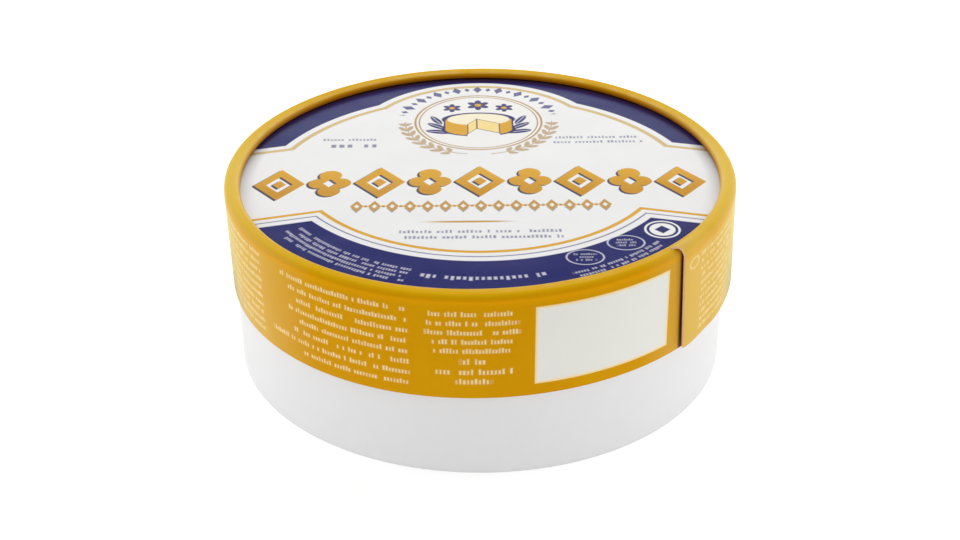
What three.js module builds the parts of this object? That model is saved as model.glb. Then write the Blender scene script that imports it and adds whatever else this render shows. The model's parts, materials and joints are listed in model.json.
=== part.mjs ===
// A shut round paperboard box of camembert, standing on its base.
// The lid is an ochre band with a folded-over rim, holding a printed disc. The base is a plain white tray.
// Millimetres, +Z up. The origin is the middle of the underside, and -Y is the front, where the date window is.

import * as THREE from 'three';
import { mergeVertices } from 'three/addons/utils/BufferGeometryUtils.js';

// Driving dimensions
const LID_DIAMETER = 115;
const BOX_HEIGHT = 44.4;
const LID_LOWER_EDGE = 20.3;
const BASE_DIAMETER = 112;
const BOARD = 0.5;
const CLEARANCE = 0.3;

// The rim is the band folded inwards over the disc, with a soft inner lip
const RIM_WIDTH = 3.5;
const RIM_SHOULDER = 1.2;
const RIM_LIP = 0.8;
const DISC_DEPTH = 1.75;
const DISC_BOARD = 0.7;

// The lid is pressed a little out of round: wider from side to side, pulled in at the front right
const SIDE_SWELL = 0.3;
const FRONT_WARP = 0.9;

// It also sits askew: its lower edge stands to the right of its top, and its right side is higher than its left
const LID_LEAN = 0.6;
const LID_TILT = 0.2;

// The base is wider from side to side as well, and sits a little to the right under the lid's rim
const BASE_SWELL = 0.5;
const BASE_SHIFT = 0.05;

// The strip of board overlaps itself at the front right, and its outer end stands proud
const SEAM_ANGLE = 47;
const SEAM_STEP = 0.6;
const SEAM_FADE = 26;
const SEAM_DROP = 0.3;
const SEAM_SLIT = 0.15;

// The base's lower edge is rolled under, and its floor sits above the table
const FOOT_RADIUS = 0.5;
const FOOT_WIDTH = 3.2;
const FLOOR_RECESS = 1.2;

// Faces round each ring and in each rounded corner
const COLUMNS = 120;
const CORNER_STEPS = 4;

const lidRadius = LID_DIAMETER / 2;
const baseRadius = BASE_DIAMETER / 2;
const discTop = BOX_HEIGHT - DISC_DEPTH;
const discBottom = discTop - DISC_BOARD;
const baseTop = discBottom - CLEARANCE - LID_TILT;

// A quarter round from one angle to another, as points of a lathe profile
function corner(x, z, radius, fromDegrees, toDegrees) {
  const points = [];
  for (let step = 0; step <= CORNER_STEPS; step += 1) {
    const angle = THREE.MathUtils.degToRad(THREE.MathUtils.lerp(fromDegrees, toDegrees, step / CORNER_STEPS));
    points.push(new THREE.Vector2(x + radius * Math.cos(angle), z + radius * Math.sin(angle)));
  }
  return points;
}

// How far the lid stands out from a true circle, at an angle from the front towards the right
function outOfRound(angle) {
  const swell = SIDE_SWELL * Math.sin(angle) ** 2;
  const warp = FRONT_WARP * Math.sin(2 * angle) * Math.max(0, Math.cos(angle));
  return swell - warp;
}

// How far the lid stands to the right of the middle, at a height
function lidLean(height) {
  return LID_LEAN * (BOX_HEIGHT - height) / (BOX_HEIGHT - LID_LOWER_EDGE);
}

// How much higher the lid sits than a level one, at a distance to the right of the middle
function lidTilt(right) {
  return LID_TILT * right / lidRadius;
}

// How much of the overlap's step is left, from 1 at the seam to 0 where the outer layer lies flat
function overlap(angle) {
  const seam = THREE.MathUtils.degToRad(SEAM_ANGLE);
  const past = THREE.MathUtils.euclideanModulo(angle - seam, 2 * Math.PI);
  const fade = THREE.MathUtils.degToRad(SEAM_FADE);
  return 1 - THREE.MathUtils.smoothstep(past, 0, fade);
}

// Evenly spaced angles, with two columns close together where the overlap makes its step
function columnAngles() {
  const seam = THREE.MathUtils.degToRad(SEAM_ANGLE);
  const slit = SEAM_SLIT / lidRadius;
  const angles = [];
  for (let column = 0; column < COLUMNS; column += 1) {
    angles.push(seam + (2 * Math.PI - slit) * (column / (COLUMNS - 1)));
  }
  return angles;
}

// A closed profile turned round the Z axis. Each point is then set at its column's own angle, and moved outwards,
// up and to the right as the shape says.
function turned(profile, angles, shape) {
  const lathe = new THREE.LatheGeometry(profile, angles.length);
  const position = lathe.getAttribute('position');
  for (let index = 0; index < position.count; index += 1) {
    const column = Math.floor(index / profile.length) % angles.length;
    const point = profile[index % profile.length];
    const angle = angles[column];
    const { out, up, right } = shape(angle, point);
    const radius = point.x === 0 ? 0 : point.x + out;
    position.setXYZ(index, radius * Math.sin(angle) + right, -radius * Math.cos(angle), point.y + up);
  }
  lathe.deleteAttribute('normal');
  lathe.deleteAttribute('uv');
  const solid = mergeVertices(lathe, 1e-5);
  solid.computeVertexNormals();
  return solid;
}

function part(name, geometry, color, roughness) {
  const material = new THREE.MeshStandardMaterial({ color, roughness, metalness: 0 });
  const mesh = new THREE.Mesh(geometry, material);
  mesh.name = name;
  return mesh;
}

// Base tray, solid because the box is shut
function baseTray() {
  const footInner = baseRadius - FOOT_WIDTH;
  const profile = [
    new THREE.Vector2(0, FLOOR_RECESS),
    new THREE.Vector2(footInner, FLOOR_RECESS),
    new THREE.Vector2(footInner, FOOT_RADIUS),
    new THREE.Vector2(footInner + FOOT_RADIUS, 0),
    ...corner(baseRadius - FOOT_RADIUS, FOOT_RADIUS, FOOT_RADIUS, -90, 0),
    new THREE.Vector2(baseRadius, baseTop),
    new THREE.Vector2(0, baseTop),
  ];
  const geometry = turned(profile, columnAngles(), (angle) => ({
    out: BASE_SWELL * Math.sin(angle) ** 2,
    up: 0,
    right: BASE_SHIFT,
  }));
  return part('base_tray', geometry, 0xe6e5e3, 0.75);
}

// Lid band, with the rim folded over its top edge
function lidBand() {
  const wallInner = lidRadius - BOARD;
  const rimInner = lidRadius - RIM_WIDTH;
  const rimUnder = discTop + CLEARANCE;
  const profile = [
    new THREE.Vector2(wallInner, LID_LOWER_EDGE),
    new THREE.Vector2(lidRadius, LID_LOWER_EDGE),
    ...corner(lidRadius - RIM_SHOULDER, BOX_HEIGHT - RIM_SHOULDER, RIM_SHOULDER, 0, 90),
    ...corner(rimInner + RIM_LIP, BOX_HEIGHT - RIM_LIP, RIM_LIP, 90, 180),
    new THREE.Vector2(rimInner, rimUnder),
    new THREE.Vector2(wallInner, rimUnder),
    new THREE.Vector2(wallInner, LID_LOWER_EDGE),
  ];
  const outerWall = (point) => point.x > lidRadius - RIM_SHOULDER / 2;
  const geometry = turned(profile, columnAngles(), (angle, point) => {
    const step = outerWall(point) ? overlap(angle) : 0;
    const drop = point.y === LID_LOWER_EDGE ? SEAM_DROP * step : 0;
    return {
      out: outOfRound(angle) + SEAM_STEP * step,
      up: lidTilt(point.x * Math.sin(angle)) - drop,
      right: lidLean(point.y),
    };
  });
  return part('lid_band', geometry, 0xcb8f0f, 0.5);
}

// Lid disc, the board that carries the label
function lidDisc() {
  const radius = lidRadius - BOARD - CLEARANCE;
  const profile = [
    new THREE.Vector2(0, discBottom),
    new THREE.Vector2(radius, discBottom),
    new THREE.Vector2(radius, discTop),
    new THREE.Vector2(0, discTop),
  ];
  const geometry = turned(profile, columnAngles(), (angle, point) => ({
    out: outOfRound(angle),
    up: lidTilt(point.x * Math.sin(angle)),
    right: lidLean(discTop),
  }));
  return part('lid_disc', geometry, 0xecebec, 0.45);
}

const camembertBox = new THREE.Group();
camembertBox.add(baseTray(), lidBand(), lidDisc());

export default camembertBox;
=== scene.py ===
# %% [markdown]
# # A shut box of camembert
#
# The real object is a round box of thin paperboard. A plain white tray holds the wrapped cheese, and a lid
# slides down over it. The lid is a strip of board rolled into a band, covered in ochre paper that folds
# inwards over the top edge, and a printed disc that lies just under that folded rim.
#
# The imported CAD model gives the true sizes. This lesson keeps them and makes the looks: fine, smooth meshes
# of the same three parts, printed paper that is drawn with shader maths, and a plain studio.

# %% Load the frame
import json
import math

import bmesh
import bpy
import numpy as np
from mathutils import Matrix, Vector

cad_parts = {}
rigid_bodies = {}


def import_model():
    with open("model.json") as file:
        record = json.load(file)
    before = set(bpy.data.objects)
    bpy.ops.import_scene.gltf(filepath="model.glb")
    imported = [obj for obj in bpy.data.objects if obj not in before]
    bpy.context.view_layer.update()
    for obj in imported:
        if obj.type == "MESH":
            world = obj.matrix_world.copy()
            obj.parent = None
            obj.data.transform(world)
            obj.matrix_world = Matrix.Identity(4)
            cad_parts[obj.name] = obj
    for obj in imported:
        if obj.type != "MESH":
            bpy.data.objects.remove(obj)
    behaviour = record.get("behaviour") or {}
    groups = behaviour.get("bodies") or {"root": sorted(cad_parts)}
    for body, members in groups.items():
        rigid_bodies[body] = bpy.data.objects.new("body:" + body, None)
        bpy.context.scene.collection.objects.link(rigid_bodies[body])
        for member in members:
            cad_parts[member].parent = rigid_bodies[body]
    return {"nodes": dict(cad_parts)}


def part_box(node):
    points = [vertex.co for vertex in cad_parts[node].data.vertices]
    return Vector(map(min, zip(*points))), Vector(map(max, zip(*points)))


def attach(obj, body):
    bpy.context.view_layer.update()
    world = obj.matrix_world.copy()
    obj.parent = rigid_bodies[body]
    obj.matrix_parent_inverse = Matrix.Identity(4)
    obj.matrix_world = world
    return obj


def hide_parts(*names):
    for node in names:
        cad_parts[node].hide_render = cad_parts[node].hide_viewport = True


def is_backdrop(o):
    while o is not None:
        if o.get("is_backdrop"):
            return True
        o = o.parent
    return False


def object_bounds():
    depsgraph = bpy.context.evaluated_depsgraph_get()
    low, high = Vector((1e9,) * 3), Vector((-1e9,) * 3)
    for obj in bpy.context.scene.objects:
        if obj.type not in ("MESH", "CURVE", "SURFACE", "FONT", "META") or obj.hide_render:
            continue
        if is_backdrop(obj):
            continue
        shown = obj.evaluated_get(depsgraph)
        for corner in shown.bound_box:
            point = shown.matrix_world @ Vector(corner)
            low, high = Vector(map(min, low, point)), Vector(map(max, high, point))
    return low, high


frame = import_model()
cad_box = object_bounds()

MM = 0.001  # lengths below are in millimetres, and Blender's are in metres
print("CAD nodes:", sorted(frame["nodes"]))

# %% [markdown]
# ## Sizes
#
# The box has a few driving sizes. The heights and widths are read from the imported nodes, so they can't
# drift from the CAD model. What the nodes don't say, such as how far the lid is pressed out of round, is
# repeated here as named values, the same as in the CAD source.

# %% Name the sizes
LID_RADIUS = 57.5
LID_LOWER_EDGE = 20.3
BOARD = 0.5
CLEARANCE = 0.3
RIM_WIDTH = 3.5
SHOULDER = 1.2
LIP = 0.8
SIDE_SWELL = 0.3
FRONT_WARP = 0.9
LIP_WARP = 0.45
LIP_REACH = 0.2
LID_LEAN = 0.6
LID_TILT = 0.2
BASE_SWELL = 0.5
BASE_SHIFT = 0.05
SEAM_DEGREES = 47.0
FOOT_ROUND = 0.5
FOOT_WIDTH = 3.2
FLOOR_RECESS = 1.2

disc_radius = LID_RADIUS - BOARD - CLEARANCE
rim_inner = LID_RADIUS - RIM_WIDTH
print("lid", 2 * LID_RADIUS, "mm across, disc", 2 * disc_radius)

# %% [markdown]
# The lid sits a little askew on the tray, with its right side higher. The nodes' boxes hold that tilt, so
# it is taken off again to find the level heights.


# %% Read the heights
def lid_tilt(right):
    """How much higher the lid sits than a level one, at a distance to the right of the middle."""
    return right * (LID_TILT / LID_RADIUS)


tray_low, tray_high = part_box("base_tray")
_, band_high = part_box("lid_band")
disc_low, disc_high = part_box("lid_disc")
TRAY_RADIUS = (tray_high[1] - tray_low[1]) / 2 / MM
TRAY_TOP = tray_high[2] / MM
BOX_HEIGHT = band_high[2] / MM - lid_tilt(LID_RADIUS - SHOULDER)
DISC_TOP = disc_high[2] / MM - lid_tilt(disc_radius)
DISC_BOTTOM = disc_low[2] / MM + lid_tilt(disc_radius)
print(f"box {BOX_HEIGHT:.2f} high, tray {2 * TRAY_RADIUS:.1f} across, disc top at {DISC_TOP:.2f}")

# %% [markdown]
# ## Camera
#
# The photograph looks down on the front of the box at about thirty degrees, from a bit over a third of a
# metre. A camera that was fitted to the outlines of the lid and the tray gives the same picture, so it
# comes first.

# %% Add the camera
CAMERA_DISTANCE = 390.5
CAMERA_PITCH = 30.07
CAMERA_LENS = 62.25
LOOK_HEIGHT = 17.33

pitch = math.radians(CAMERA_PITCH)
camera_data = bpy.data.cameras.new("studio_camera")
camera_data.lens = CAMERA_LENS
camera_data.sensor_width = 36.0
camera_data.clip_start = 0.01
camera = bpy.data.objects.new("studio_camera", camera_data)
bpy.context.scene.collection.objects.link(camera)
camera.location = (
    0.0,
    -CAMERA_DISTANCE * math.cos(pitch) * MM,
    (LOOK_HEIGHT + CAMERA_DISTANCE * math.sin(pitch)) * MM,
)
camera.rotation_euler = (math.pi / 2 - pitch, 0.0, 0.0)
bpy.context.scene.camera = camera
print("camera at", [round(value, 3) for value in camera.location])

# %% [markdown]
# ## Tools for modelling
#
# An operator works on whatever is selected, and a loaded model is selected all over. So each step starts by
# deselecting everything, and then picks edges or faces by where they are. A few small helpers keep that
# short.
#
# Angles round the box are counted from the front, -Y, towards the right, +X.


# %% Selecting and editing
def deselect_all():
    for item in bpy.context.scene.objects:
        item.select_set(False)


def start_editing(piece, mode="EDGE"):
    deselect_all()
    piece.select_set(True)
    bpy.context.view_layer.objects.active = piece
    bpy.ops.object.mode_set(mode="EDIT")
    bpy.ops.mesh.select_mode(type=mode)
    bpy.ops.mesh.select_all(action="DESELECT")


def stop_editing():
    bpy.ops.object.mode_set(mode="OBJECT")


def pick_edges(piece, test):
    """Selects the edges whose ends both pass the test, given a radius and a height in millimetres."""
    net = bmesh.from_edit_mesh(piece.data)
    for edge in net.edges:
        ends = [(math.hypot(v.co.x, v.co.y) / MM, v.co.z / MM) for v in edge.verts]
        edge.select_set(all(test(radius, height) for radius, height in ends))
    bmesh.update_edit_mesh(piece.data)


def pick_faces(piece, test):
    """Selects the faces whose middle passes the test, given its radius, height and normal."""
    net = bmesh.from_edit_mesh(piece.data)
    for face in net.faces:
        middle = face.calc_center_median()
        face.select_set(test(math.hypot(middle.x, middle.y) / MM, middle.z / MM, face.normal))
    bmesh.update_edit_mesh(piece.data)


def near(value, goal, slack=0.02):
    return abs(value - goal) < slack


def bevel_loops(piece, width, segments, at_radius, at_height):
    """Rounds the ring of edges at a radius and a height."""
    pick_edges(piece, lambda radius, height: near(radius, at_radius) and near(height, at_height))
    bpy.ops.mesh.bevel(offset=width * MM, segments=segments, profile=0.5, affect="EDGES")


def name_active(name):
    piece = bpy.context.view_layer.objects.active
    piece.name = name
    piece.data.name = name
    return piece


def smooth_by_angle(piece, degrees=30):
    deselect_all()
    piece.select_set(True)
    bpy.context.view_layer.objects.active = piece
    bpy.ops.object.shade_smooth_by_angle(angle=math.radians(degrees))


def polar(piece):
    """The piece's vertices as arrays: angle from the front in radians, radius and height in millimetres."""
    places = np.empty(len(piece.data.vertices) * 3)
    piece.data.vertices.foreach_get("co", places)
    x, y, z = places.reshape(-1, 3).T / MM
    return np.arctan2(x, -y), np.hypot(x, y), z


def set_polar(piece, angle, radius, height, right):
    places = np.stack([radius * np.sin(angle) + right, -radius * np.cos(angle), height], axis=1) * MM
    piece.data.vertices.foreach_set("co", places.ravel())
    piece.data.update()


print("helpers ready")

# %% [markdown]
# ## The lid's true shape
#
# Paperboard lids are never quite round. This one is a little wider from side to side, and pulled in at the
# front right while it stands off at the front left. One formula says how far each angle is from a true
# circle, and both the band and the disc follow it. The lid also leans a little, so its lower edge stands to
# the right, and it tilts, as was said where the heights were read.


# %% Out of round
def smoothstep(low, high, value):
    share = np.clip((value - low) / (high - low), 0, 1)
    return share * share * (3 - 2 * share)


def out_of_round(angle):
    swell = SIDE_SWELL * np.sin(angle) ** 2
    warp = FRONT_WARP * np.sin(2 * angle) * np.maximum(0, np.cos(angle))
    return swell - warp


def lip_drift(angle):
    """How much further in the folded rim reaches: it is widest at the front."""
    return LIP_REACH + LIP_WARP * np.cos(2 * angle) * np.maximum(0, np.cos(angle))


def lid_lean(height):
    return LID_LEAN * (BOX_HEIGHT - height) / (BOX_HEIGHT - LID_LOWER_EDGE)


print("front left", round(float(out_of_round(-0.7)), 2), "front right", round(float(out_of_round(0.7)), 2))

# %% [markdown]
# ## The tray
#
# The tray is a board band with a floor set into it, and its lower edge is rolled under, so it stands on a
# narrow ring. It could be turned from a drawn profile. A cylinder that is inset and pushed in from below
# gives the same form in fewer steps, and the bevels then round the rolled edge.

# %% Model the tray
TRAY_COLUMNS = 240
FOOT_INNER_ROUND = 0.35
TRAY_TOP_ROUND = 0.3

deselect_all()
bpy.ops.mesh.primitive_cylinder_add(
    vertices=TRAY_COLUMNS,
    radius=TRAY_RADIUS * MM,
    depth=TRAY_TOP * MM,
    location=(0, 0, TRAY_TOP / 2 * MM),
    end_fill_type="NGON",
)
tray = name_active("tray")
bpy.ops.object.transform_apply(location=True, rotation=True, scale=True)

start_editing(tray, "FACE")
pick_faces(tray, lambda radius, height, normal: normal.z < -0.9)
bpy.ops.mesh.inset(thickness=FOOT_WIDTH * MM, depth=0)
bpy.ops.mesh.extrude_region_move(TRANSFORM_OT_translate={"value": (0, 0, FLOOR_RECESS * MM)})

bpy.ops.mesh.select_mode(type="EDGE")
foot_inner = TRAY_RADIUS - FOOT_WIDTH
bevel_loops(tray, FOOT_ROUND, 6, TRAY_RADIUS, 0)
bevel_loops(tray, FOOT_INNER_ROUND, 4, foot_inner, 0)
bevel_loops(tray, TRAY_TOP_ROUND, 3, TRAY_RADIUS, TRAY_TOP)
stop_editing()

angle, radius, height = polar(tray)
set_polar(tray, angle, radius + BASE_SWELL * np.sin(angle) ** 2, height, BASE_SHIFT)
smooth_by_angle(tray)
print("tray:", len(tray.data.polygons), "faces")

# %% [markdown]
# ## The lid's band
#
# The band is a strip of board bent into a ring. Its section is an upside-down L: the wall, and the rim
# where the paper and board fold inwards. One ring of edges is drawn upwards, inwards, down and out again,
# and the last ring is bridged to the first, so that the section closes on itself. Bevels then give the rim
# its soft shoulder.

# %% Model the band
BAND_COLUMNS = 288
LOWER_ROUND = 0.12
SOFT_SHOULDER = 1.4
SOFT_LIP = 1.15

wall_inner = LID_RADIUS - BOARD
rim_under = DISC_TOP + CLEARANCE

deselect_all()
bpy.ops.mesh.primitive_circle_add(
    vertices=BAND_COLUMNS, radius=LID_RADIUS * MM, location=(0, 0, LID_LOWER_EDGE * MM), fill_type="NOTHING"
)
band = name_active("band")
bpy.ops.object.transform_apply(location=True, rotation=True, scale=True)


def draw_ring(radius_from, height_from, radius_to, height_to):
    """Extrudes the selected ring of edges to another radius and height."""
    rise = (height_to - height_from) * MM
    bpy.ops.mesh.extrude_edges_move(TRANSFORM_OT_translate={"value": (0, 0, rise)})
    grow = radius_to / radius_from
    bpy.ops.transform.resize(value=(grow, grow, 1), center_override=(0, 0, 0))


section = [
    (LID_RADIUS, LID_LOWER_EDGE),
    (LID_RADIUS, BOX_HEIGHT),
    (rim_inner, BOX_HEIGHT),
    (rim_inner, rim_under),
    (wall_inner, rim_under),
    (wall_inner, LID_LOWER_EDGE),
]
start_editing(band)
bpy.ops.mesh.select_all(action="SELECT")
for (radius_from, height_from), (radius_to, height_to) in zip(section, section[1:]):
    draw_ring(radius_from, height_from, radius_to, height_to)
pick_edges(
    band,
    lambda radius, height: near(height, LID_LOWER_EDGE)
    and (near(radius, LID_RADIUS) or near(radius, wall_inner)),
)
bpy.ops.mesh.bridge_edge_loops()
bpy.ops.mesh.select_all(action="SELECT")
bpy.ops.mesh.normals_make_consistent(inside=False)

bevel_loops(band, SOFT_SHOULDER, 12, LID_RADIUS, BOX_HEIGHT)
bevel_loops(band, SOFT_LIP, 9, rim_inner, BOX_HEIGHT)
bevel_loops(band, LOWER_ROUND, 2, LID_RADIUS, LID_LOWER_EDGE)
stop_editing()

angle, radius, height = polar(band)
rise = lid_tilt(radius * np.sin(angle))
folded = (1 - smoothstep(rim_inner, wall_inner, radius)) * (height > rim_under - 0.1)
radius = radius + out_of_round(angle) - lip_drift(angle) * folded
set_polar(band, angle, radius, height + rise, lid_lean(height))
smooth_by_angle(band, 35)
print("band:", len(band.data.polygons), "faces")

# %% [markdown]
# ## The overlap
#
# The strip's outer end laps over its inner end at the front right. It stands proud by its own thickness and
# lifts a little more at its end, so a dark gap shows beside it. Its lower corner sits a bit higher, and the
# crease bends to the left where the rim turns over, and fades out there.
#
# Cutting a step into the ring would leave no gap. Instead the lap is a piece of its own: a flat grid, bent
# round the wall and over the shoulder by a formula, and thickened with Solidify. It sinks into the band
# along its far edges, where the real layer lies flat.

# %% Model the overlap
LAP_REACH = 27.0
LAP_BOARD = 0.5
LAP_LIFT = 0.8
LIFT_REACH = 11.0
LAP_SINK = 0.06
LAP_LEAN = 0.02
LAP_HOOK = 0.9
LEAN_REACH = 14.0
LAP_OVER = 2.9
LAP_RAISE = 0.6
seam = math.radians(SEAM_DEGREES)

deselect_all()
bpy.ops.mesh.primitive_grid_add(x_subdivisions=54, y_subdivisions=46, size=1.0, location=(0.5, 0.5, 0))
lap = name_active("band_lap")
bpy.ops.object.transform_apply(location=True, rotation=True, scale=True)


def along_wall(share):
    """Height and inward reach of the outside of the band, from its lower edge up and over the shoulder."""
    straight = BOX_HEIGHT - SOFT_SHOULDER - LID_LOWER_EDGE
    bend = SOFT_SHOULDER * math.pi / 2
    walked = share * (straight + bend + LAP_OVER - SOFT_SHOULDER)
    turn = np.clip((walked - straight) / SOFT_SHOULDER, 0, math.pi / 2)
    flat = np.maximum(0, walked - straight - bend)
    height = LID_LOWER_EDGE + np.minimum(walked, straight) + SOFT_SHOULDER * np.sin(turn)
    inwards = SOFT_SHOULDER * (1 - np.cos(turn)) + flat
    return height, inwards, turn


places = np.empty(len(lap.data.vertices) * 3)
lap.data.vertices.foreach_get("co", places)
share_round, share_up, _ = places.reshape(-1, 3).T
past = LAP_REACH * share_round**1.6
height, inwards, turn = along_wall(share_up**0.75)
level = (height - LID_LOWER_EDGE) / (BOX_HEIGHT - LID_LOWER_EDGE)
lift = LAP_LIFT * (1 - smoothstep(0, LIFT_REACH, past))
upright = 1 - smoothstep(0.4, 2.6, inwards)
proud = (LAP_BOARD + lift) * (1 - smoothstep(1.0, LAP_REACH, past)) * upright - LAP_SINK
lean = -LAP_LEAN * (height - (LID_LOWER_EDGE + BOX_HEIGHT) / 2) - LAP_HOOK * smoothstep(0.0, 2.4, inwards)
lean = lean * np.exp(-((past / LEAN_REACH) ** 2))
lap_angle = seam + (past + lean) / LID_RADIUS
raised = LAP_RAISE * (1 - smoothstep(0, LAP_REACH * 0.9, past)) * (1 - smoothstep(0.0, 0.35, level))
rise = lid_tilt(LID_RADIUS * np.sin(lap_angle))
set_polar(
    lap,
    lap_angle,
    LID_RADIUS + out_of_round(lap_angle) - inwards + proud * np.cos(turn),
    height + proud * np.sin(turn) + raised + rise,
    lid_lean(height),
)

start_editing(lap, "FACE")
bpy.ops.mesh.select_all(action="SELECT")
bpy.ops.mesh.normals_make_consistent(inside=False)
stop_editing()
facing = lap.data.polygons[0]
if facing.normal.x * facing.center.x + facing.normal.y * facing.center.y < 0:
    lap.data.flip_normals()
thicken = lap.modifiers.new("board", "SOLIDIFY")
thicken.thickness = LAP_BOARD * MM
thicken.offset = -1.0
deselect_all()
lap.select_set(True)
bpy.context.view_layer.objects.active = lap
bpy.ops.object.modifier_apply(modifier="board")
smooth_by_angle(lap, 40)
print("lap:", len(lap.data.polygons), "faces, lifted", LAP_LIFT, "mm at its end")

# %% [markdown]
# ## The lid's disc
#
# The printed disc is a flat round of board. A plain cylinder is enough for its form, with its edge rounded
# and pressed out of round like the band that holds it. Its top is inset a few times, so that it has rings
# of faces to carry a very slight dish, which keeps the reflections on it from looking like glass.

# %% Model the disc
DISC_COLUMNS = 240
DISC_DISH = 0.12
DISC_RINGS = 9

deselect_all()
bpy.ops.mesh.primitive_cylinder_add(
    vertices=DISC_COLUMNS,
    radius=disc_radius * MM,
    depth=(DISC_TOP - DISC_BOTTOM) * MM,
    location=(0, 0, (DISC_TOP + DISC_BOTTOM) / 2 * MM),
    end_fill_type="NGON",
)
disc = name_active("disc")
bpy.ops.object.transform_apply(location=True, rotation=True, scale=True)
start_editing(disc, "FACE")
pick_faces(disc, lambda radius, height, normal: normal.z > 0.9)
for ring in range(DISC_RINGS - 1):
    bpy.ops.mesh.inset(thickness=disc_radius / DISC_RINGS * MM, depth=0)
stop_editing()

angle, radius, height = polar(disc)
dish = DISC_DISH * (1 - smoothstep(0, rim_inner - 2, radius)) * (height > DISC_TOP - 0.05)
edge_share = smoothstep(0.5 * disc_radius, disc_radius, radius)
rise = lid_tilt(radius * np.sin(angle)) - dish
set_polar(disc, angle, radius + out_of_round(angle) * edge_share, height + rise, lid_lean(DISC_TOP))
smooth_by_angle(disc)
print("disc:", len(disc.data.polygons), "faces")

# %% [markdown]
# ## Shader maths
#
# The print is drawn by formulas on each point's place, so it stays sharp at any size and needs no image.
# Written node by node that would be hard to read. A small class wraps a socket, so that Python's own signs
# add the Math nodes, and one method adds any other node.


# %% A socket that does arithmetic
class Wire:
    """A value on its way through a material's nodes."""

    def __init__(self, tree, socket):
        self.tree = tree
        self.socket = socket

    def node(self, kind, settings, values, output=0):
        """Adds a node: its settings are set first, then each socket is given its value or link."""
        made = self.tree.nodes.new(kind)
        for name, setting in settings.items():
            setattr(made, name, setting)
        for name, value in values.items():
            if isinstance(value, Wire):
                self.tree.links.new(value.socket, made.inputs[name])
            else:
                made.inputs[name].default_value = value
        return Wire(self.tree, made.outputs[output])

    def math(self, operation, *values):
        return self.node("ShaderNodeMath", {"operation": operation}, dict(enumerate(values)))

    def __add__(self, other):
        return self.math("ADD", self, other)

    def __sub__(self, other):
        return self.math("SUBTRACT", self, other)

    def __mul__(self, other):
        return self.math("MULTIPLY", self, other)

    def __truediv__(self, other):
        return self.math("DIVIDE", self, other)

    def __radd__(self, other):
        return self.math("ADD", other, self)

    def __rsub__(self, other):
        return self.math("SUBTRACT", other, self)

    def __rmul__(self, other):
        return self.math("MULTIPLY", other, self)

    def __neg__(self):
        return self.math("MULTIPLY", self, -1.0)

    def __abs__(self):
        return self.math("ABSOLUTE", self)


print("the class adds", len([name for name in dir(Wire) if name.startswith("__r")]), "reflected signs")

# %% [markdown]
# ## Shapes as distances
#
# Each printed shape is a signed distance in millimetres: negative inside, zero on the outline. The smaller
# of two distances joins two shapes, and the larger keeps only what they share. A distance becomes ink
# through a soft edge a tenth of a millimetre wide, like ink that has sunk a little into the paper.

# %% Distance helpers
INK_EDGE = 0.11


def smaller(a, b):
    return a.math("MINIMUM", a, b)


def larger(a, b):
    return a.math("MAXIMUM", a, b)


def length(x, y):
    squares = x * x + y * y
    return squares.math("SQRT", squares)


def circle(x, y, radius):
    return length(x, y) - radius


def bar(x, y, half_width, half_height):
    return larger(abs(x) - half_width, abs(y) - half_height)


def oval(x, y, half_width, half_height):
    return (length(x / half_width, y / half_height) - 1.0) * min(half_width, half_height)


def lozenge(x, y, half_width, half_height):
    slope = math.hypot(half_width, half_height)
    return (abs(x) * half_height + abs(y) * half_width - half_width * half_height) / slope


def outline(distance, width):
    return abs(distance) - width / 2


def repeat(value, pitch):
    """The place within the nearest of many equal cells, and that cell's number."""
    number = value.math("ROUND", value / pitch)
    return value - number * pitch, number


def turned(x, y, degrees):
    """The place in axes turned anticlockwise by an angle."""
    cos, sin = math.cos(math.radians(degrees)), math.sin(math.radians(degrees))
    return x * cos + y * sin, y * cos - x * sin


def ink(distance, edge=INK_EDGE):
    """How much ink covers a point, from 0 to 1."""
    return distance.node(
        "ShaderNodeMapRange",
        {"clamp": True},
        {"Value": distance, "From Min": edge, "From Max": -edge, "To Min": 0.0, "To Max": 1.0},
    )


def paint(under, color, share):
    """Lays a colour over another, as far as share says."""
    return under.node(
        "ShaderNodeMix",
        {"data_type": "RGBA", "clamp_factor": True},
        {0: share, 6: under, 7: color},
        output=2,
    )


print("ink edge", INK_EDGE, "mm")

# %% [markdown]
# ## Colours
#
# The colours are written as they look in daylight on a screen, from 0 to 255, and turned into the linear
# values that Blender works with. Printed yellows drift to olive and ochres to orange, so these were set
# against the photograph.


# %% Name the inks
def daylight(red, green, blue):
    """A screen colour as linear values with alpha."""
    linear = []
    for value in (red, green, blue):
        share = value / 255
        linear.append(share / 12.92 if share <= 0.04045 else ((share + 0.055) / 1.055) ** 2.4)
    return (*linear, 1.0)


WHITE_BOARD = daylight(236, 236, 237)
LABEL_WHITE = daylight(243, 243, 242)
OCHRE = daylight(213, 154, 0)
OCHRE_DEEP = daylight(205, 141, 0)
OCHRE_LIGHT = daylight(224, 163, 14)
OCHRE_SHADE = daylight(168, 96, 6)
OCHRE_CROWN_HIGHLIGHT = daylight(230, 186, 4)
OCHRE_FOLD_HIGHLIGHT = daylight(236, 162, 2)
OCHRE_PALE_AND_SHEEN = daylight(236, 208, 120)
LIP_WEAR_AND_HIGHLIGHT = daylight(246, 206, 138)
SLIT_SHADE_BROWN = daylight(104, 56, 10)
NAVY = daylight(24, 28, 103)
GOLD = daylight(224, 168, 34)
GOLD_DEEP = daylight(207, 148, 28)
GOLD_PALE = daylight(218, 190, 132)
GOLD_DULL = daylight(186, 150, 92)
CREAM = daylight(246, 224, 170)
WINDOW_GREY = daylight(233, 233, 226)
RAW_BOARD = daylight(240, 202, 158)
print("ochre is linear", [round(value, 3) for value in OCHRE[:3]])

# %% [markdown]
# ## A start for every material
#
# Each finish starts the same way: a Principled shader, and the point's place on the object in millimetres.
# Paper is never perfectly even, so each also gets a fine grain in its bump and a slow drift in its shade.


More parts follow.
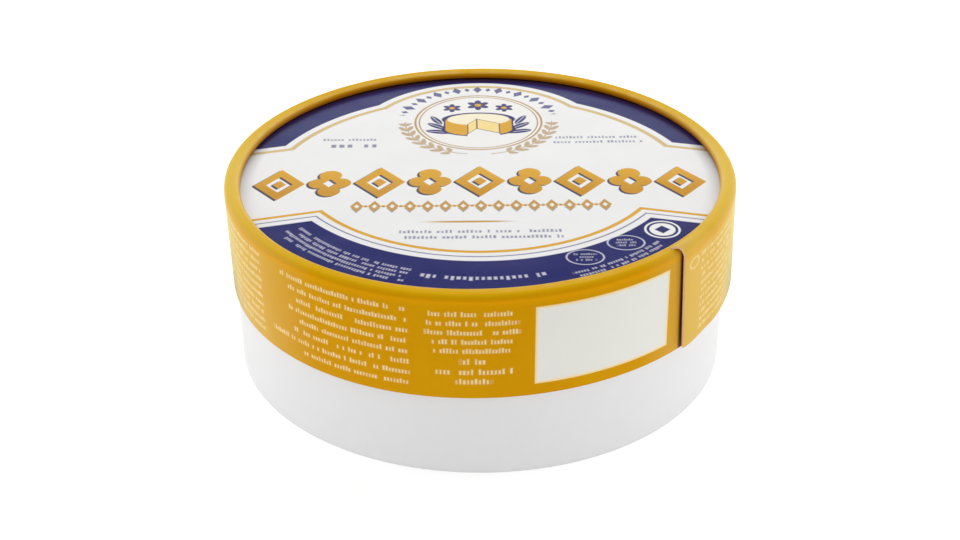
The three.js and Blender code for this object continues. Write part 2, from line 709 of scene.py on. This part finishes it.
# %% New material
def new_material(name):
    """A material, its shader, and the point's place as wires in millimetres."""
    material = bpy.data.materials.new(name)
    material.use_nodes = True
    tree = material.node_tree
    shader = tree.nodes["Principled BSDF"]
    start = Wire(tree, tree.nodes.new("ShaderNodeTexCoord").outputs["Object"])
    place = start.node("ShaderNodeVectorMath", {"operation": "SCALE"}, {0: start, "Scale": 1 / MM})
    split = place.node("ShaderNodeSeparateXYZ", {}, {0: place})
    x, y, z = (Wire(tree, split.socket.node.outputs[axis]) for axis in range(3))
    return material, shader, place, x, y, z


def noise(place, scale, detail=2.0, roughness=0.5):
    return place.node(
        "ShaderNodeTexNoise", {}, {"Vector": place, "Scale": scale, "Detail": detail, "Roughness": roughness}
    )


def stretch(place, x, y, z):
    """The place squeezed along its axes, for grain that runs one way."""
    return place.node("ShaderNodeVectorMath", {"operation": "MULTIPLY"}, {0: place, 1: (x, y, z)})


def finish_shader(shader, color, roughness, bump_height, bump_depth, gloss=0.5):
    """Links what varies over the surface to the shader. Gloss is how much it mirrors, the same all over."""
    shader.inputs["Specular IOR Level"].default_value = gloss
    links = color.tree.links
    links.new(color.socket, shader.inputs["Base Color"])
    links.new(roughness.socket, shader.inputs["Roughness"])
    bump = bump_height.node(
        "ShaderNodeBump", {}, {"Height": bump_height, "Distance": bump_depth * MM, "Strength": 1.0}
    )
    links.new(bump.socket, shader.inputs["Normal"])


def wear(piece, material):
    piece.data.materials.clear()
    piece.data.materials.append(material)


print("materials start from object places in millimetres")

# %% [markdown]
# ## White board
#
# The tray is uncoated white paperboard: matt, faintly mottled, with fibres that run round the band. Its
# rolled foot is painted a little darker, as painted shade along the bottom edge.


# %% Finish the tray
def white_board():
    material, shader, place, _, _, z = new_material("white_board")
    mottle = noise(place, 0.35, 3.0)
    fibre = noise(stretch(place, 1.0, 1.0, 4.0), 2.2, 4.0, 0.6)
    speck = noise(place, 9.0, 2.0)
    color = place.node("ShaderNodeRGB", {}, {})
    color.socket.default_value = WHITE_BOARD
    color = paint(color, daylight(231, 231, 232), (mottle - 0.35) * 0.7)
    # Painted shade: darker towards the foot
    color = paint(color, daylight(216, 215, 213), ink(z - FOOT_ROUND, 0.6) * 0.5)
    finish_shader(shader, color, 0.62 + 0.2 * fibre, fibre * 0.6 + speck * 0.4, 0.05)
    return material


wear(tray, white_board())
print("tray finished")

# %% [markdown]
# ## Ochre band
#
# The band is covered in paper printed ochre. On it are paragraphs of small pale print and a blank window.
# Each row of print is made of plain little strokes in groups of uneven length. The rows are placed by the
# angle round the band and the height.

# %% Print for the band
WINDOW_LEFT, WINDOW_RIGHT = 11.75, 43.0
WINDOW_LOW, WINDOW_HIGH = 23.5, 40.7
WINDOW_BORDER = 0.5
STAMP_DEGREES, STAMP_HEIGHT = 50.6, 40.4
BAND_SHEEN = 1.0
BAND_SHEEN_ROUGHNESS = 0.2
BAND_SHEEN_TINT = daylight(255, 252, 205)
BAND_BUMP = 0.045
BLANK_STROKES = 0.17
TALL_STROKES = 0.35
SLIT_RADIUS, SLIT_START, SLIT_END = 57.85, 0.15, 3.4
SHEEN_FROM, SHEEN_TO, SHEEN_SOFT = 58.0, 118.0, 22.0
OUTER_END_PALE = 0.55

# Left and right ends in degrees, low and high edges, row pitch, height and width of a stroke's cell, how
# ragged the rows are, and the side that they line up on: -1 left, 0 neither, 1 right
BLOCKS = [
    (-72.0, -53.0, 21.9, 42.4, 2.05, 1.2, 0.64, 3.0, 1),
    (-49.0, -14.5, 22.0, 42.0, 2.5, 1.35, 0.68, 9.0, 1),
    (-12.0, 9.0, 30.5, 41.35, 2.17, 1.35, 0.66, 2.6, 0),
    (-3.9, 1.3, 27.9, 30.2, 2.3, 1.6, 0.8, 0.0, 0),
    (-9.4, 6.8, 25.4, 27.7, 2.3, 1.6, 0.8, 0.0, 0),
    (-4.8, 2.3, 23.1, 25.4, 2.3, 1.6, 0.8, 0.0, 0),
    (53.8, 72.0, 21.9, 41.7, 1.8, 1.05, 0.6, 2.0, -1),
    (104.0, 146.0, 22.6, 40.4, 2.5, 1.3, 0.68, 9.0, -1),
    (-158.0, -116.0, 22.6, 40.4, 2.5, 1.3, 0.68, 9.0, 1),
]


def arc_length(degrees):
    return math.radians(degrees) * LID_RADIUS


def chance(first, second, seed):
    """A number from 0 to 1 that depends only on two whole numbers."""
    seat = first.node("ShaderNodeCombineXYZ", {}, {0: first, 1: second, 2: seed})
    return seat.node("ShaderNodeTexWhiteNoise", {"noise_dimensions": "3D"}, {"Vector": seat}, output=0)


def stroke_rows(along, up, block):
    """Rows of short upright strokes, some of them taller, in groups of uneven length."""
    left, right, low, high, pitch, tall, wide, ragged, align = block
    row_place, row = repeat(up - low - pitch / 2, pitch)
    cell, number = repeat(along + row * (0.37 * wide), wide)
    luck = chance(number, row, left)
    other = chance(number, row, right)
    taller = other.math("LESS_THAN", other, TALL_STROKES) * 0.2 + 0.3
    strokes = larger(row_place - taller * tall, -row_place - 0.3 * tall)
    strokes = larger(strokes, abs(cell) - (luck * 0.14 + 0.19) * wide)
    marks = strokes + luck.math("LESS_THAN", luck, BLANK_STROKES)
    ends = chance(row, row, right) * ragged
    left_end = ends * (1.0 if align >= 0 else 0.0) + left
    right_end = right - ends * (1.0 if align <= 0 else 0.0)
    seat = along - cell
    sides = larger(left_end - seat, seat - right_end)
    return larger(larger(marks, sides), abs(up - (low + high) / 2) - (high - low) / 2)


print(len(BLOCKS), "blocks of strokes on the band")


# %% Finish the band
def ochre_band(name, outer_end):
    material, shader, place, x, y, z = new_material(name)
    along = x.math("ARCTAN2", x, -y) * LID_RADIUS
    level = z - lid_tilt(x)
    drift = noise(place, 0.05, 2.0)
    grain = noise(place, 3.2, 5.0, 0.65)
    fibre = noise(stretch(place, 1.0, 1.0, 3.0), 1.1, 3.0)
    color = place.node("ShaderNodeRGB", {}, {})
    color.socket.default_value = OCHRE
    color = paint(color, OCHRE_DEEP, (drift - 0.3) * 1.4)
    color = paint(color, OCHRE_LIGHT, (grain - 0.45) * 0.6)

    # Painted sheen makes both sides paler, and the strip's outer end is paler in its own tone
    past_seam = along - seam * LID_RADIUS
    pale_and_sheen = ink(SHEEN_FROM - abs(along), SHEEN_SOFT) * ink(abs(along) - SHEEN_TO, SHEEN_SOFT)
    pale_and_sheen = larger(pale_and_sheen * 0.9, ink(past_seam - LAP_REACH * 0.7, 8.0) * outer_end)
    color = paint(color, OCHRE_PALE_AND_SHEEN, pale_and_sheen)

    window_middle = arc_length((WINDOW_LEFT + WINDOW_RIGHT) / 2)
    window_half = arc_length((WINDOW_RIGHT - WINDOW_LEFT) / 2)
    window_height = (WINDOW_LOW + WINDOW_HIGH) / 2
    window = bar(along - window_middle, level - window_height, window_half, (WINDOW_HIGH - WINDOW_LOW) / 2)
    patchy = 0.6 + 0.6 * noise(place, 0.8, 1.0)
    for left, right, *rest in BLOCKS:
        rows = stroke_rows(along, level, (arc_length(left), arc_length(right), *rest))
        color = paint(color, CREAM, ink(rows, 0.13) * patchy)
    stamp = oval(along - arc_length(STAMP_DEGREES), level - STAMP_HEIGHT, 1.9, 1.2)
    color = paint(color, CREAM, ink(outline(stamp, 0.3), 0.16) * 0.7)
    color = paint(color, CREAM, ink(window - WINDOW_BORDER))
    color = paint(color, WINDOW_GREY, ink(window))

    # Painted highlight along the shoulder and the top of the fold, and painted shade deepening down inside
    # the lip
    color = paint(color, OCHRE_FOLD_HIGHLIGHT, ink(abs(level - BOX_HEIGHT + SOFT_SHOULDER) - 0.2, 1.1) * 0.8)
    # Painted highlight along the crown, patchy with the grain
    crown_highlight = ink(abs(level - BOX_HEIGHT) - 0.2, 0.5)
    color = paint(color, OCHRE_CROWN_HIGHLIGHT, crown_highlight * (0.5 + grain * 0.5))
    # Painted shade: darker down inside the lip
    inside_rim = ink(length(x, y) - (LID_RADIUS - SOFT_SHOULDER - SOFT_LIP / 2), 0.3)
    depth = BOX_HEIGHT - level - 0.15
    color = paint(color, OCHRE_SHADE, depth / LIP * inside_rim * (0.7 - 0.7 * ink(level - rim_under)))
    # A patchy pale line along the lip's edge: partly rubbed wear, partly a painted highlight
    lip_wear_and_highlight = ink(abs(depth - 0.02) - 0.1, 0.14) * inside_rim
    color = paint(color, LIP_WEAR_AND_HIGHLIGHT, lip_wear_and_highlight * (noise(place, 0.25, 2.0) - 0.2) * 1.5)

    # Painted shade: the wall down in the slit under the overlap is painted dark brown, where the lap keeps
    # the light off
    past_edge = past_seam + (level - (LID_LOWER_EDGE + BOX_HEIGHT) / 2) * LAP_LEAN
    slit_shade = ink(larger(SLIT_START - past_edge, past_edge - SLIT_END), 0.4)
    slit_shade = slit_shade * ink(length(x, y) - SLIT_RADIUS)
    color = paint(color, SLIT_SHADE_BROWN, slit_shade * ink(level - BOX_HEIGHT + 0.8, 0.4))
    rough = 0.42 + grain * 0.16 + ink(window) * 0.2
    shader.inputs["Sheen Weight"].default_value = BAND_SHEEN
    shader.inputs["Sheen Roughness"].default_value = BAND_SHEEN_ROUGHNESS
    shader.inputs["Sheen Tint"].default_value = BAND_SHEEN_TINT
    finish_shader(shader, color, rough, grain * 0.5 + fibre * 0.5, BAND_BUMP, gloss=0.02)
    return material


def raw_edge():
    material, shader, place, *_ = new_material("raw_edge")
    layers = noise(stretch(place, 2.0, 2.0, 0.3), 3.0, 3.0)
    color = place.node("ShaderNodeRGB", {}, {})
    color.socket.default_value = RAW_BOARD
    color = paint(color, daylight(214, 170, 120), (layers - 0.4) * 1.2)
    finish_shader(shader, color, 0.8 + layers * 0.1, layers, 0.05)
    return material


bare_board = raw_edge()
for piece, paper in ((band, ochre_band("ochre_band", 0.0)), (lap, ochre_band("ochre_lap", OUTER_END_PALE))):
    wear(piece, paper)
    piece.data.materials.append(bare_board)
print("band finished")

# %% [markdown]
# ### Bare board
#
# The paper covers only the outside and the rim. Inside the wall and along the lower edge the board is bare,
# and those faces are found by where they look. The lap's cut end and its underside are bare in the same
# way.

# %% Give the inside its board
bare_faces = {band.name: 0, lap.name: 0}
for piece in (band, lap):
    for face in piece.data.polygons:
        middle, normal = face.center / MM, face.normal
        reach = math.hypot(middle.x, middle.y)
        outwards = (normal.x * middle.x + normal.y * middle.y) / reach
        sideways = abs(normal.y * middle.x - normal.x * middle.y) / reach
        inner_wall = outwards < -0.5 and middle.z < rim_under - CLEARANCE
        if inner_wall or normal.z < -0.5 or (piece is lap and sideways > 0.5):
            face.material_index = 1
            bare_faces[piece.name] += 1
print("bare board faces:", bare_faces)

# %% [markdown]
# ## The label
#
# The label is a coated white sheet. Navy fields fill its top and its foot, with a white panel between them
# that swells into a lobe over a round medallion. Thin gold lines follow the panel's edge. On it lie plain
# ornaments in the same inks: a frieze of lozenges and quatrefoils across the middle, a row of small
# lozenges under it, rows of little strokes for the small print, and a cut cheese between leaves in the
# medallion.
#
# The whole print is turned by almost a degree and sits a millimetre towards the back, because the disc was
# dropped into the lid that way.

# %% Lay out the label
LABEL_TURN = 0.8
LABEL_SHIFT = 1.0
PANEL = (0.0, -6.9, 50.3)
LOBE = (0.0, 20.5, 29.5)
LOWER = (0.0, 5.0, 46.0)
BRACKET_X, BRACKET_Y = 45.8, 14.4
FOOT_X, FOOT_Y = 37.6, -23.0
SHOULDER_SLOPE = 0.27
MEDAL = (0.0, 27.0)
MEDAL_RADIUS = 15.6
SPRIG_RADIUS, LEAF_DEGREES = 17.7, 9.0
BEAD_RADIUS, BEAD_DEGREES = 18.9, 8.0
TOP_LINE, TOP_LINE_WIDTH = 2.3, 1.25
FOOT_LINES = ((1.85, 0.4), (3.9, 1.0))
FRIEZE_PITCH, FRIEZE_LINE = 11.3, -4.4
FRIEZE_COUNT = 4
FRIEZE_ARCH = 0.0006
GEM_PITCH, GEM_LINE, GEM_REACH = 3.9, -16.3, 29.3
MARK = (38.6, -28.2)
FOOT_BEND = 46.0

# Blocks of small print, laid out as on the band: on the white panel, and bent along the foot's navy field
PANEL_BLOCKS = [
    (-18.5, 18.5, -32.0, -27.0, 2.5, 1.6, 0.9, 1.0, 0),
    (-37.0, -24.0, 16.1, 18.7, 2.6, 1.4, 0.85, 0.5, 0),
    (-35.6, -23.5, 12.4, 15.8, 3.4, 2.7, 1.9, 0.0, 0),
    (17.0, 39.5, 14.0, 19.0, 2.5, 1.5, 0.85, 3.0, 0),
]
FOOT_BLOCKS = [
    (-46.5, -15.0, 45.9, 52.2, 1.55, 1.0, 0.6, 4.0, 1),
    (-13.0, 13.0, 46.8, 49.4, 2.6, 1.9, 1.2, 0.0, 0),
    (17.5, 38.5, 49.2, 52.2, 1.5, 0.95, 0.6, 1.0, 0),
]
SEALS = ((21.3, -39.8), (30.3, -33.8))


def fields(x, y):
    """The navy field at the top and the one at the foot, as distances."""
    panel = circle(x - PANEL[0], y - PANEL[1], PANEL[2])
    lobe = circle(x - LOBE[0], y - LOBE[1], LOBE[2])
    sheet = smaller(panel, lobe)
    bracket = BRACKET_Y - (abs(x) - BRACKET_X) * SHOULDER_SLOPE
    top = larger(-sheet, bracket - y)
    lower = circle(x - LOWER[0], y - LOWER[1], LOWER[2])
    shelf = FOOT_Y - (abs(x) - FOOT_X) * SHOULDER_SLOPE
    foot = larger(-lower, y - shelf)
    return top, foot


def frieze(x, y):
    """Lozenge rings and quatrefoils in turn, on a gently arched line."""
    arched = y - FRIEZE_LINE + x * x * FRIEZE_ARCH
    cell, number = repeat(x, FRIEZE_PITCH)
    odd = abs(number.math("MODULO", number, 2.0))
    ring = outline(lozenge(cell, arched, 4.35, 5.7), 2.2)
    ring = smaller(ring, lozenge(cell, arched, 1.5, 2.0))
    petals = smaller(circle(abs(cell) - 2.45, arched, 2.35), circle(cell, abs(arched) - 3.75, 2.55))
    petals = larger(petals, -lozenge(cell, arched, 1.5, 2.0))
    shape = ring * (1.0 - odd) + petals * odd
    return larger(shape, abs(x) - FRIEZE_PITCH * (FRIEZE_COUNT + 0.5))


def sprigs(x, y):
    """Leaves in pairs along an arc round the lower half of the medallion, mirrored left and right."""
    radius = length(x, y)
    side = abs(x)
    degrees = side.math("ARCTAN2", side, -y) * (180 / math.pi)
    cell, _ = repeat(degrees - 24.0, LEAF_DEGREES)
    run = cell * (math.pi / 180 * SPRIG_RADIUS)
    out = radius - SPRIG_RADIUS
    lean_x, lean_y = turned(run, abs(out) - 0.85, 32)
    leaves = oval(lean_x, lean_y, 1.55, 0.62)
    leaves = larger(leaves, larger(degrees - 88.0, 22.0 - degrees) * 0.3)
    stem = larger(outline(out, 0.35), larger(degrees - 90.0, 9.0 - degrees) * 0.3)
    return smaller(leaves, stem)


def beads(x, y):
    """Small lozenges along an arc over the medallion."""
    radius = length(x, y)
    degrees = x.math("ARCTAN2", x, y) * (180 / math.pi)
    cell, number = repeat(degrees, BEAD_DEGREES)
    run = cell * (math.pi / 180 * BEAD_RADIUS)
    odd = abs(number.math("MODULO", number, 2.0))
    big = lozenge(run, radius - BEAD_RADIUS, 1.15, 1.9)
    small = lozenge(run, radius - BEAD_RADIUS, 0.7, 1.0)
    return larger(big * (1.0 - odd) + small * odd, (abs(degrees) - 78.0) * 0.3)


STROKE_BLUE = daylight(104, 104, 146)
STROKE_WHITE = daylight(226, 224, 238)
SHADOW_NAVY = daylight(66, 60, 84)
GOLD_OLIVE = daylight(200, 152, 66)
FOOT_LINE_BLUE = daylight(128, 128, 158)
FOLD_SHADOW_BROWN = daylight(44, 27, 38)
FOLD_SHADE = 3.1
FOLD_FROM, FOLD_REACH = -18.0, 36.0
LABEL_BUMP = 0.12
print("label turned", LABEL_TURN, "degrees; frieze of", 2 * FRIEZE_COUNT + 1, "ornaments")

# %% [markdown]
# ### The cheese in the medallion
#
# A round cheese seen a little from above is an oval top over a short wall, with a wedge cut out of it. It
# is built up like a stencil print: pale top, gold wall, navy outlines, then leaves either side.


# %% Draw the medallion
LEAF_NAVY = daylight(58, 54, 116)
MEDAL_GROUND = daylight(244, 243, 240)
RIND = daylight(252, 242, 212)
PASTE = daylight(250, 224, 146)
WHEEL_HALF, WHEEL_DEPTH, WHEEL_MIDDLE = 8.0, 3.5, 1.4
WHEEL_WALL = 5.6
NOTCH_TIP = (-0.4, 1.7)
NOTCH_SLOPES = (1.35, 0.5)
NOTCH_MIDDLE, NOTCH_HALF = 1.6, 3.9
LEAVES = ((9.6, -5.4, 12, 3.1), (9.9, -2.4, 38, 2.9), (10.2, 1.0, 62, 2.6))
FLOWERS = ((-6.4, 8.0, 2.3), (0.0, 9.6, 2.8), (6.4, 8.0, 2.3))


def medallion(color, x, y):
    ring = circle(x, y, MEDAL_RADIUS)
    color = paint(color, MEDAL_GROUND, ink(ring))
    color = paint(color, GOLD_DULL, ink(outline(ring + 0.35, 0.5)))
    color = paint(color, GOLD_DULL, ink(outline(ring + 1.3, 0.35)))

    # Leaves in navy, fanned out on each side of the cheese
    side = abs(x)
    for reach, lift, tilt, size in LEAVES:
        leaf_x, leaf_y = turned(side - reach, y - lift, tilt)
        leaf = oval(leaf_x, leaf_y, size, size * 0.34)
        rib = bar(leaf_x, leaf_y, size * 0.8, 0.09)
        color = paint(color, LEAF_NAVY, ink(larger(leaf, -rib)))

    # The wheel: an oval top over a wall, outlined
    wheel_y = y - WHEEL_MIDDLE
    wheel_top = oval(x, wheel_y, WHEEL_HALF, WHEEL_DEPTH)
    wheel_low = oval(x, wheel_y + WHEEL_WALL, WHEEL_HALF, WHEEL_DEPTH)
    wall = smaller(wheel_low, bar(x, wheel_y + WHEEL_WALL / 2, WHEEL_HALF, WHEEL_WALL / 2))
    body = smaller(wall, wheel_top)
    color = paint(color, NAVY, ink(body - 0.4))
    color = paint(color, GOLD, ink(wall))
    color = paint(color, RIND, ink(wheel_top + 0.2))

    # The notch: its two cuts meet at the tip, and drop to the front. Under them the ground shows
    from_tip = x - NOTCH_TIP[0]
    to_left, to_right = larger(-from_tip, 0.0), larger(from_tip, 0.0)
    cut_line = y - NOTCH_TIP[1] + to_left * NOTCH_SLOPES[0] + to_right * NOTCH_SLOPES[1]
    notch = larger(bar(from_tip - NOTCH_MIDDLE, y, NOTCH_HALF, 20.0), cut_line)
    ground = larger(notch, cut_line + WHEEL_WALL)
    color = paint(color, NAVY, ink(larger(notch, body)))
    color = paint(color, PASTE, ink(larger(notch + 0.22, body + 0.1)))
    color = paint(color, NAVY, ink(larger(larger(outline(from_tip, 0.3), notch), body)))
    color = paint(color, NAVY, ink(larger(ground - 0.25, body - 0.4)))
    color = paint(color, MEDAL_GROUND, ink(larger(ground, body - 0.6)))

    # Three small flowers over it: six round petals, with the gold heart last
    for middle_x, middle_y, size in FLOWERS:
        flower_x, flower_y = x - middle_x, y - middle_y
        turn = flower_x.math("ARCTAN2", flower_x, flower_y) * (180 / math.pi)
        petal, _ = repeat(turn, 60.0)
        reach = length(flower_x, flower_y)
        spread = petal * (math.pi / 180) * reach
        petals = oval(spread, reach - 0.6 * size, 0.3 * size, 0.42 * size)
        color = paint(color, LEAF_NAVY, ink(petals))
        color = paint(color, GOLD, ink(circle(flower_x, flower_y, size * 0.3)))
    return color


print("medallion", 2 * MEDAL_RADIUS, "mm across")


# %% Finish the label
def printed_label():
    material, shader, place, raw_x, raw_y, _ = new_material("printed_label")
    x, y = turned(raw_x, raw_y - LABEL_SHIFT, LABEL_TURN)
    color = place.node("ShaderNodeRGB", {}, {})
    color.socket.default_value = LABEL_WHITE
    mottle = noise(place, 0.12, 2.0)
    color = paint(color, daylight(238, 238, 239), (mottle - 0.35) * 0.8)

    top, foot = fields(x, y)
    color = paint(color, NAVY, ink(top))
    color = paint(color, GOLD_PALE, ink(outline(top - TOP_LINE, TOP_LINE_WIDTH)))
    color = paint(color, NAVY, ink(foot))
    for line_color, (line, width) in zip((FOOT_LINE_BLUE, GOLD), FOOT_LINES):
        color = paint(color, line_color, ink(outline(foot - line, width)))

    color = medallion(color, x - MEDAL[0], y - MEDAL[1])
    color = paint(color, GOLD_DULL, ink(sprigs(x - MEDAL[0], y - MEDAL[1])) * 0.8)
    color = paint(color, STROKE_BLUE, ink(beads(x - MEDAL[0], y - MEDAL[1])))

    # The frieze: navy shadow down to the left, then gold that deepens towards its foot
    shadow = ink(frieze(x + 0.5, y + 0.45))
    color = paint(color, SHADOW_NAVY, shadow)
    gold_face = place.node("ShaderNodeRGB", {}, {})
    gold_face.socket.default_value = GOLD
    gold_face = paint(gold_face, GOLD_DEEP, (y + 0.5) * (-1 / 9.0))
    color = paint(color, gold_face, ink(frieze(x, y)))

    # The small row under it
    cell, _ = repeat(x, GEM_PITCH)
    over = y - GEM_LINE
    gems = larger(larger(lozenge(cell, over, 1.5, 2.6), -lozenge(cell, over, 0.6, 1.0)), abs(x) - GEM_REACH)
    dots = larger(circle(abs(cell) - GEM_PITCH / 2, over, 0.5), abs(x) - GEM_REACH + 1.3)
    row = smaller(gems, dots)
    color = paint(color, SHADOW_NAVY, ink(larger(smaller(gems - 0.25, dots - 0.2), over + 0.9)) * 0.6)
    color = paint(color, GOLD_OLIVE, ink(row))
    swash = oval(x + 2.8, y + 23.7, 9.0, 0.42)
    color = paint(color, GOLD_OLIVE, ink(swash))

    # Small print in navy on the panel
    patchy = 0.55 + 0.5 * noise(place, 0.8, 1.0)
    for block in PANEL_BLOCKS:
        color = paint(color, STROKE_BLUE, ink(stroke_rows(x, y, block), 0.16) * patchy)

    # On the foot's navy field, bent along the rim
    radius = length(x, y)
    along = x.math("ARCTAN2", x, -y) * FOOT_BEND
    for block in FOOT_BLOCKS:
        rows = larger(stroke_rows(along, radius, block), foot + 0.8)
        color = paint(color, STROKE_WHITE, ink(rows, 0.16) * patchy)
    for middle_x, middle_y in SEALS:
        seal = outline(oval(x - middle_x, y - middle_y, 3.9, 3.1), 0.28)
        color = paint(color, STROKE_WHITE, ink(seal) * 0.85)
        inside = (middle_x - 2.4, middle_x + 2.4, middle_y - 1.8, middle_y + 1.8, 1.2, 0.8, 0.5, 0.9, 0)
        color = paint(color, STROKE_WHITE, ink(stroke_rows(x, y, inside), 0.16) * 0.7)
    mark = circle(x - MARK[0], y - MARK[1], 3.9)
    gem = lozenge(x - MARK[0], y - MARK[1], 1.7, 1.7)
    color = paint(color, LABEL_WHITE, ink(smaller(outline(mark + 0.25, 0.5), larger(mark + 1.1, -gem))))

    # Painted shadow: a dark band where the sheet runs in under the fold, widest at the back
    fold_shadow = ink(rim_inner - FOLD_SHADE / 2 - length(raw_x - lid_lean(DISC_TOP), raw_y), FOLD_SHADE / 2)
    towards_back = larger((raw_y - FOLD_FROM) / FOLD_REACH, 0.0)
    color = paint(color, FOLD_SHADOW_BROWN, fold_shadow * 0.65 * towards_back)

    grain = noise(place, 2.6, 4.0, 0.6)
    wave = noise(place, 0.06, 1.0)
    finish_shader(shader, color, 0.2 + grain * 0.08, grain * 0.12 + wave * 3.0, LABEL_BUMP, gloss=0.085)
    return material


wear(disc, printed_label())
print("label nodes:", len(disc.data.materials[0].node_tree.nodes))

# %% [markdown]
# ## The pieces take their places
#
# Each fine mesh stands for its CAD node, which is hidden, and rides on the object's one body.

# %% Attach the pieces
dressed = (
    (tray, "base_tray", "white_board"),
    (band, "lid_band", "ochre_board"),
    (lap, "lid_band", "ochre_board"),
    (disc, "lid_disc", "printed_label"),
)
for piece, node, slot_name in dressed:
    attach(piece, "root")
    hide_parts(node)
print("pieces:", [piece.name for piece, node, slot_name in dressed])

# %% [markdown]
# ## Studio
#
# The photograph is a bright cut-out: soft light from all round, strongest from the sides and the back, and
# a white ground. A pale floor, a white world and a few large soft lamps give that, with no hard shadow.

# %% Floor and light
FLOOR_GLOW = 0.38
WORLD_LIGHT = 0.45

deselect_all()
bpy.ops.mesh.primitive_plane_add(size=6.0, location=(0, 0, 0))
floor = name_active("floor")
floor_material = bpy.data.materials.new("pale_floor")
floor_material.use_nodes = True
floor_shader = floor_material.node_tree.nodes["Principled BSDF"]
floor_shader.inputs["Base Color"].default_value = daylight(247, 247, 247)
floor_shader.inputs["Roughness"].default_value = 0.9
floor_shader.inputs["Emission Color"].default_value = (1.0, 1.0, 1.0, 1.0)
floor_shader.inputs["Emission Strength"].default_value = FLOOR_GLOW
wear(floor, floor_material)
floor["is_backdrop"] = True

world = bpy.data.worlds.new("studio")
world.use_nodes = True
world.node_tree.nodes["Background"].inputs["Color"].default_value = (1.0, 1.0, 1.0, 1.0)
world.node_tree.nodes["Background"].inputs["Strength"].default_value = WORLD_LIGHT
bpy.context.scene.world = world
bpy.context.scene.view_settings.view_transform = "Standard"


def softbox(name, place, aim, width, height, power):
    lamp = bpy.data.lights.new(name, "AREA")
    lamp.shape = "RECTANGLE"
    lamp.size = width
    lamp.size_y = height
    lamp.energy = power
    stand = bpy.data.objects.new(name, lamp)
    bpy.context.scene.collection.objects.link(stand)
    stand.location = place
    direction = stand.location.copy()
    for axis in range(3):
        direction[axis] = aim[axis] - place[axis]
    stand.rotation_euler = direction.to_track_quat("-Z", "Y").to_euler()
    return stand


softbox("left_softbox", (-0.9, 0.15, 0.4), (0, 0, 0.02), 0.9, 0.7, 3.0)
softbox("right_softbox", (0.9, 0.15, 0.4), (0, 0, 0.02), 0.9, 0.7, 3.1)
softbox("back_softbox", (0.0, 1.2, 0.47), (0, 0, 0.03), 1.8, 0.34, 3.2)
softbox("top_softbox", (0.0, 0.55, 1.05), (0, 0, 0.03), 0.8, 0.8, 3.7)
softbox("front_softbox", (0.0, -1.2, 0.8), (0, 0, 0.03), 1.2, 0.6, 1.1)

# %% [markdown]
# ## Check the size and finish
#
# Both boxes are printed: the CAD model's and the visual model's. The visual model has to stay inside the
# CAD model's box.

# %% Write the boxes and finish
visual_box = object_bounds()
for name, (low, high) in (("CAD", cad_box), ("visual", visual_box)):
    print(name, "box in mm:", [round(value / MM, 2) for value in (*low, *high)])
